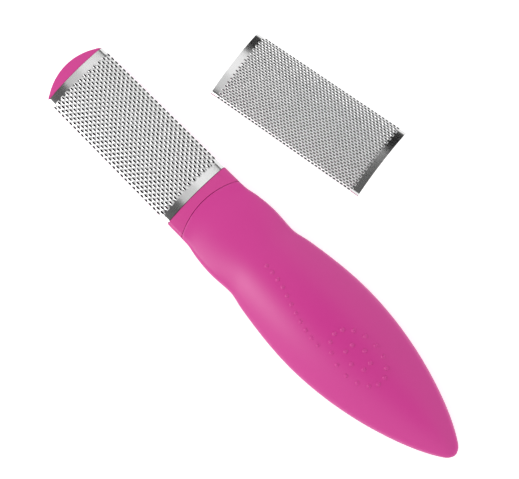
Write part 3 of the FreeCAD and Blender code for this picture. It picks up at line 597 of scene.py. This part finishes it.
def rasp_sheet(name, tree, grade, place):
    """A rasp sheet with teeth of one grade, set in its place."""
    profile, width = sheet_profile()
    helpers = [tooth_tile(grade), plain_border(grade, width), profile]
    made = add_object(name, bpy.data.meshes.new(name))
    punch = made.modifiers.new("punch", "NODES")
    punch.node_group = tree
    set_inputs(punch, {
        "Tooth": helpers[0], "Border": helpers[1], "Profile": profile, "Row": grade["row"] * MM,
        "Step": grade["step"] * MM, "Rows": grade["rows"], "Columns": grade["columns"], "Width": width * MM,
        "Steel": bright_steel, "Flank": punched_steel, "Pit": pit_shade_steel,
    })
    applied(made)
    made.data.transform(place)
    for helper in helpers:
        bpy.data.objects.remove(helper)
    shade(made, SHEET_CREASE)
    return made


def nub_places():
    """Where the nubs stand, seen from above."""
    places = []
    for i in range(NUB_LINE["count"]):
        share = i / (NUB_LINE["count"] - 1)
        x = NUB_LINE["start"] + share * (NUB_LINE["end"] - NUB_LINE["start"])
        places.append((x, -NUB_LINE["sway"] * math.sin(share * math.pi / 2) ** 2))
    for ring in NUB_OVALS:
        for i in range(ring["count"]):
            angle = 2 * math.pi * (i + 0.5) / ring["count"]
            x = NUB_OVAL["x"] + ring["share"] * NUB_OVAL["length"] * math.cos(angle)
            places.append((x, ring["share"] * NUB_OVAL["width"] * math.sin(angle)))
    return places


def nub_shape():
    """A low dome with a sunken foot."""
    bm = bmesh.new()
    rings = []
    turns = [2 * math.pi * i / NUB_SIDES for i in range(NUB_SIDES)]
    for share, level in NUB_RINGS:
        radius = share * NUB_WIDTH / 2
        ring = [(radius * math.cos(a), radius * math.sin(a), level * NUB_HEIGHT) for a in turns]
        rings.append([bm.verts.new(point) for point in ring])
    for a, b in zip(rings, rings[1:]):
        for i in range(NUB_SIDES):
            j = (i + 1) % NUB_SIDES
            bm.faces.new((a[i], a[j], b[j], b[i]))
    bm.faces.new(rings[-1])
    bm.faces.new(reversed(rings[0]))
    return add_object("nub_shape", mesh_of(bm, "nub_shape"))


def nub_tree():
    """Nodes that drop points onto the handle and stand a nub on each, square to the surface."""
    tree = bpy.data.node_groups.new("grip_nubs", "GeometryNodeTree")
    face = tree.interface
    face.new_socket("Geometry", in_out="OUTPUT", socket_type="NodeSocketGeometry")
    for name, kind in (("Geometry", "Geometry"), ("Handle", "Object"), ("Nub", "Object"),
                       ("Plastic", "Material")):
        face.new_socket(name, in_out="INPUT", socket_type=f"NodeSocket{kind}")
    given = node(tree, "NodeGroupInput").outputs
    handle = node(tree, "GeometryNodeObjectInfo", {"Object": given["Handle"]})
    nub = node(tree, "GeometryNodeObjectInfo", {"Object": given["Nub"]})
    hit = node(tree, "GeometryNodeRaycast", {"Target Geometry": handle.outputs["Geometry"],
                                             "Ray Direction": (0.0, 0.0, -1.0), "Ray Length": 1.0})
    points = node(tree, "GeometryNodeMeshToPoints", {"Mesh": given["Geometry"]})
    upright = node(tree, "FunctionNodeAlignRotationToVector", {"Vector": hit.outputs["Hit Normal"]}, axis="Z")
    nubs = node(tree, "GeometryNodeInstanceOnPoints", {"Points": points.outputs[0],
                                                       "Instance": nub.outputs["Geometry"],
                                                       "Rotation": upright.outputs["Rotation"]})
    drop = node(tree, "ShaderNodeMath", {0: hit.outputs["Hit Distance"], 1: -1.0}, operation="MULTIPLY")
    drop = node(tree, "ShaderNodeCombineXYZ", {"Z": drop.outputs[0]})
    nubs = node(tree, "GeometryNodeTranslateInstances", {"Instances": nubs.outputs[0], "Local Space": False,
                                                         "Translation": drop.outputs[0]})
    real = node(tree, "GeometryNodeRealizeInstances", {"Geometry": nubs.outputs[0]})
    real = node(tree, "GeometryNodeSetMaterial", {"Geometry": real.outputs[0], "Material": given["Plastic"]})
    result = node(tree, "NodeGroupOutput")
    tree.links.new(real.outputs[0], result.inputs[0])
    return tree


def grip_nubs(handle, plastic):
    """The raised nubs, standing on the handle's crown."""
    mesh = bpy.data.meshes.new("grip_nubs")
    mesh.from_pydata([(x * MM, y * MM, NUB_FALL * MM) for x, y in nub_places()], [], [])
    made = add_object("grip_nubs", mesh)
    shape = nub_shape()
    stand = made.modifiers.new("stand", "NODES")
    stand.node_group = nub_tree()
    set_inputs(stand, {"Handle": handle, "Nub": shape, "Plastic": plastic})
    applied(made)
    bpy.data.objects.remove(shape)
    shade(made, NUB_CREASE)
    return made


def middle_of(name):
    """The middle of a node's box, on its underside."""
    low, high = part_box(name)
    return Vector(((low.x + high.x) / 2, (low.y + high.y) / 2, low.z))


def soft_light(name, place, aim, width, height, power):
    """A rectangular soft box, aimed at a point; places and sizes are in millimetres."""
    lamp = bpy.data.lights.new(name, "AREA")
    lamp.shape = "RECTANGLE"
    lamp.size, lamp.size_y = width * MM, height * MM
    lamp.energy = power
    made = bpy.data.objects.new(name, lamp)
    bpy.context.scene.collection.objects.link(made)
    made.location = Vector(place) * MM
    made.rotation_euler = (Vector(aim) - Vector(place)).to_track_quat("-Z", "Y").to_euler()
    return made


def studio():
    """A white floor under a pale dome with a dark patch, lit by two cards and a key light."""
    scene = bpy.context.scene
    scene.view_settings.view_transform = "Standard"
    bm = bmesh.new()
    bmesh.ops.create_grid(bm, x_segments=1, y_segments=1, size=FLOOR_REACH)
    bmesh.ops.translate(bm, vec=(0.0, 0.0, -FLOOR_DROP), verts=bm.verts)
    floor = add_object("floor", mesh_of(bm, "floor"), paper_floor())
    world = bpy.data.worlds.new("studio")
    scene.world = world
    world.use_nodes = True
    tree = world.node_tree
    # The dark part of the dome gives flat steel something dark to mirror.
    way = node(tree, "ShaderNodeTexCoord").outputs["Generated"]
    facing = node(tree, "ShaderNodeVectorMath", {0: way, 1: DARK_WAY}, operation="DOT_PRODUCT")
    side = node(tree, "ShaderNodeSeparateXYZ", {"Vector": way})
    dark = node(tree, "ShaderNodeMapRange", {
        "Value": side.outputs["Y"], "From Min": DARK_SIDES[0], "From Max": DARK_SIDES[1],
        "To Min": DARK_LEVELS[0], "To Max": DARK_LEVELS[1],
    })
    level = node(tree, "ShaderNodeMapRange", {
        "Value": facing.outputs["Value"], "From Min": math.cos(DARK_EDGE), "From Max": math.cos(DARK_CORE),
        "To Min": DOME_LEVEL, "To Max": dark.outputs["Result"],
    }, interpolation_type="SMOOTHSTEP")
    tree.links.new(level.outputs["Result"], tree.nodes["Background"].inputs["Strength"])
    tree.nodes["Background"].inputs["Color"].default_value = linear("#FFFFFF")
    soft_light("grey_card", **GREY_CARD)
    soft_light("white_card", **WHITE_CARD)
    soft_light("key", **KEY)


def camera():
    """The photograph's viewpoint."""
    lean, level = math.sin(CAMERA_TILT), math.cos(CAMERA_TILT)
    east, north = math.cos(CAMERA_SWING), math.sin(CAMERA_SWING)
    back = Vector((lean * east, lean * north, level))
    along = Vector((level * east, level * north, -lean))
    across = back.cross(along)
    right = math.cos(CAMERA_ROLL) * along + math.sin(CAMERA_ROLL) * across
    up = -math.sin(CAMERA_ROLL) * along + math.cos(CAMERA_ROLL) * across
    lens = bpy.data.cameras.new("camera")
    lens.sensor_width = SENSOR_WIDTH
    lens.lens = SENSOR_WIDTH * FOCAL_PIXELS / FRAME_WIDTH
    lens.clip_start = NEAREST * MM
    made = bpy.data.objects.new("camera", lens)
    bpy.context.scene.collection.objects.link(made)
    turn = Matrix((right, up, back)).transposed().to_4x4()
    made.matrix_world = Matrix.Translation(CAMERA_AIM + back * CAMERA_DISTANCE) @ turn
    bpy.context.scene.camera = made


handle_pink = moulded_abs("moulded_abs_pink", "#CE3190", "#CB2E8D", 0.42)
head_pink = moulded_abs("moulded_abs_light_pink", "#CF3C90", "#CC398D", 0.38)
bright_steel = rasp_steel()
punched_steel = worked_and_shaded_steel("punched_stainless_steel", "#F2F2F2", 0.38)
# The pits' dark grey is painted shade for the inside of each hole.
pit_shade_steel = worked_and_shaded_steel("stainless_steel_painted_pit_shade", "#3A3B3E", 0.55)

upper = handle_shell("upper_shell_skin", RISE, 1, handle_pink)
lower = handle_shell("lower_shell_skin", DEPTH, -1, handle_pink)
head = head_moulding(head_pink)
nubs = grip_nubs(upper, handle_pink)
punching = rasp_tree()
coarse = rasp_sheet("coarse_rasp_sheet", punching, COARSE, Matrix.Translation(middle_of("coarse_rasp")))
turned = Matrix.Rotation(math.radians(SPARE_TURN), 4, "Z")
fine = rasp_sheet("fine_rasp_sheet", punching, FINE, Matrix.Translation(middle_of("fine_rasp")) @ turned)

for piece, body, slot, replaced in (
    (upper, "tool", "handle_plastic", ["upper_shell"]),
    (lower, "tool", "handle_plastic", ["lower_shell"]),
    (nubs, "tool", "handle_plastic", []),
    (head, "tool", "head_plastic", ["head"]),
    (coarse, "mounted_sheet", "rasp_steel", ["coarse_rasp"]),
    (fine, "spare_sheet", "rasp_steel", ["fine_rasp"]),
):
    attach(piece, body)
    if replaced:
        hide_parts(*replaced)

studio()
camera()
